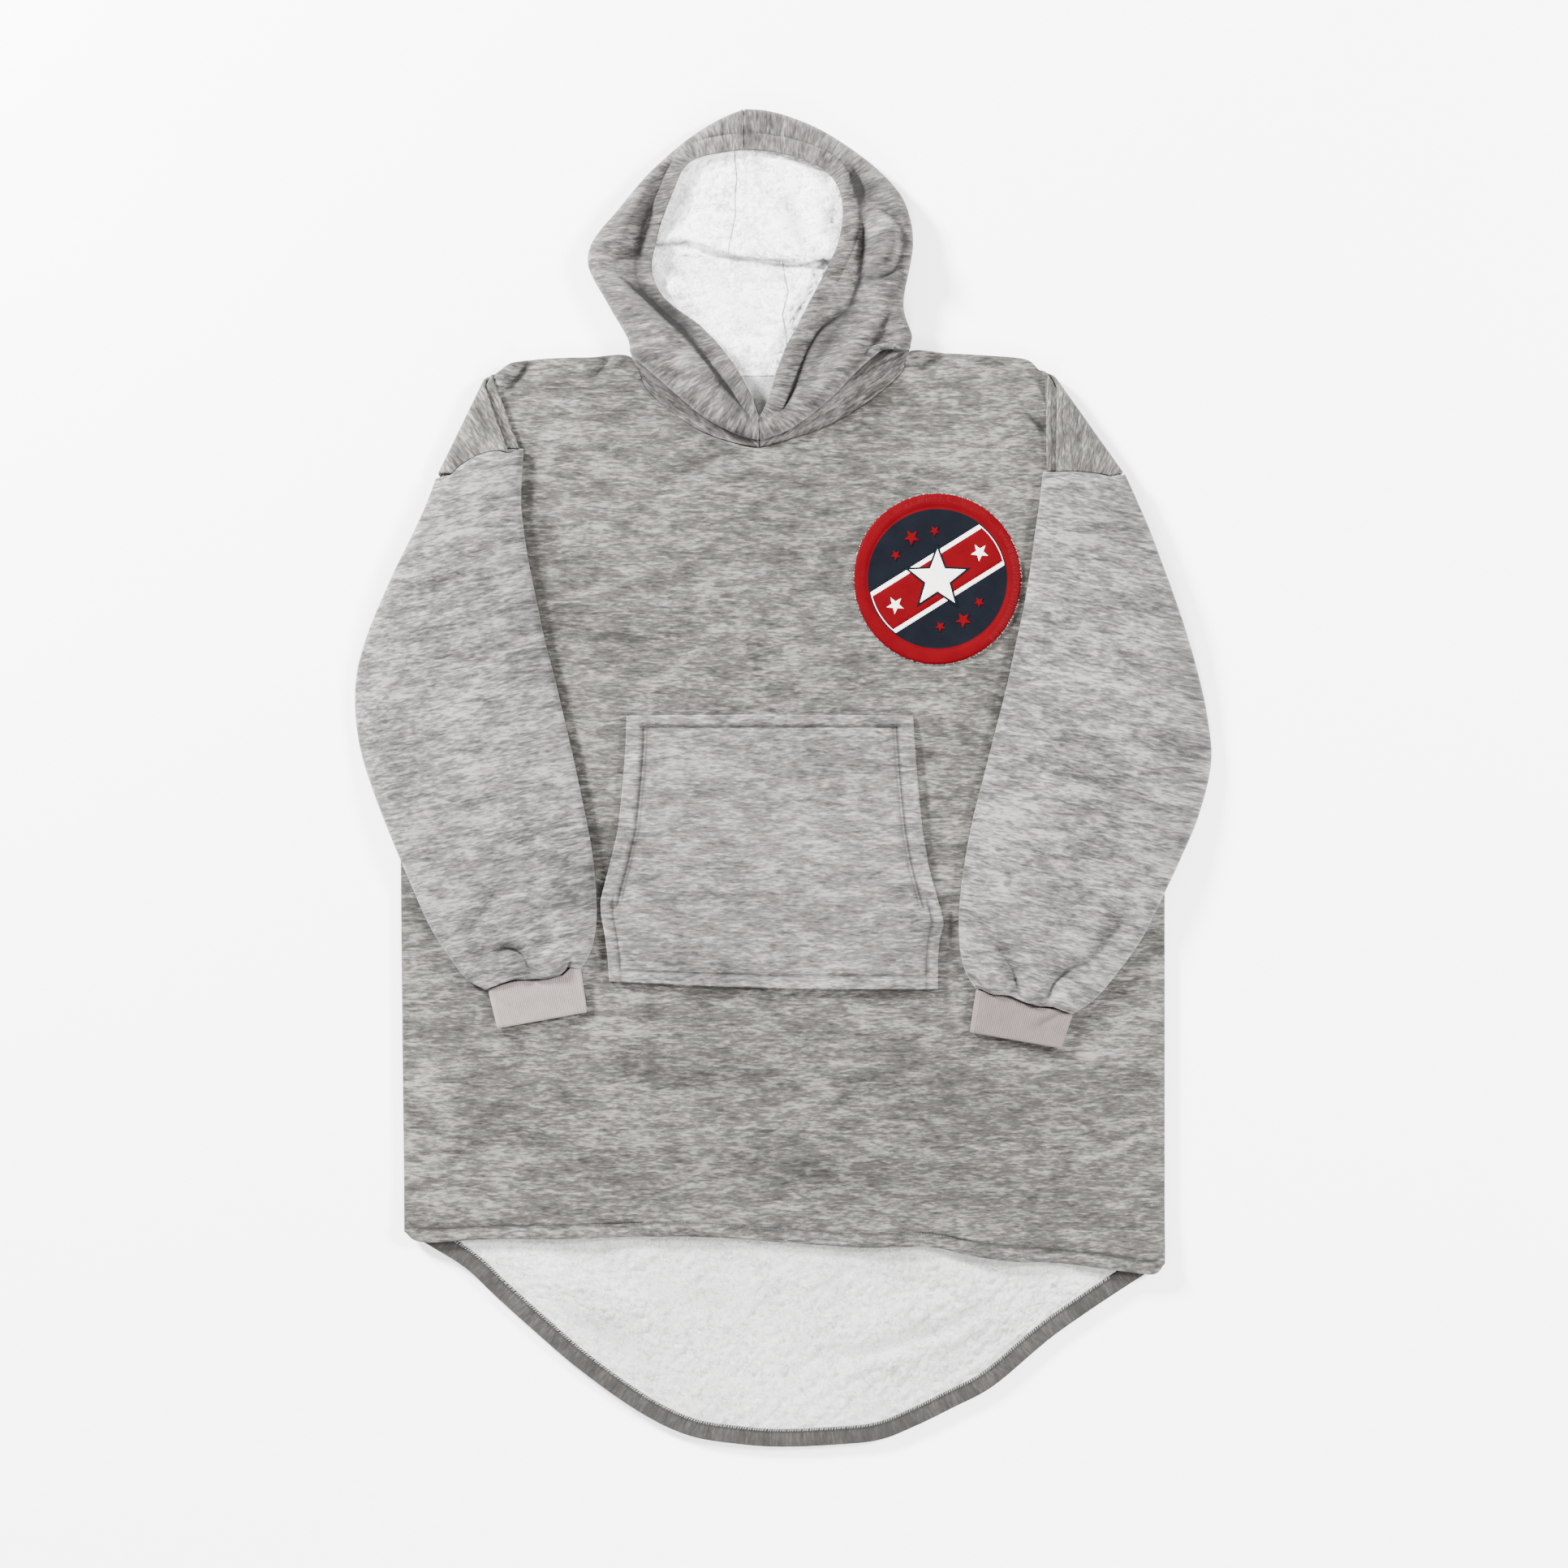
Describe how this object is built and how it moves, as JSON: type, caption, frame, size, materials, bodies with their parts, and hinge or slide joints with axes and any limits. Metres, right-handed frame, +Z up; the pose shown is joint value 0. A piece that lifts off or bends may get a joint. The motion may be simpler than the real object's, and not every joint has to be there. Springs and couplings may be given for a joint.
{
  "type": "wearable blanket hoodie",
  "caption": "Oversized hooded blanket pullover laid flat, sleeves folded over the front, kangaroo pocket, ribbed cuffs and a long dipped back hem.",
  "frame": {"origin": "on the surface that the garment lies on, under the middle of its outline", "axes": "+X to the right of the garment seen from above, +Y from the tail to the hood, +Z up from the surface"},
  "size_m": [0.898, 1.403, 0.0295],
  "materials": {
    "fleece": "brushed heather gray flannel fleece",
    "hood_fleece": "brushed heather gray flannel fleece, in shade",
    "sherpa": "off-white sherpa pile",
    "rib_knit": "heather gray rib knit",
    "applique": "felt applique with satin-stitched rim"
  },
  "bodies": {
    "root": {"front_panel": "fleece", "back_panel": "fleece", "sleeve_left": "fleece", "sleeve_right": "fleece", "pocket": "fleece", "hood_left": "hood_fleece", "hood_right": "hood_fleece", "back_hem_band": "hood_fleece", "hood_lining_left": "sherpa", "hood_lining_right": "sherpa", "back_lining": "sherpa", "cuff_left": "rib_knit", "cuff_right": "rib_knit", "patch": "applique"}
  },
  "joints": []
}
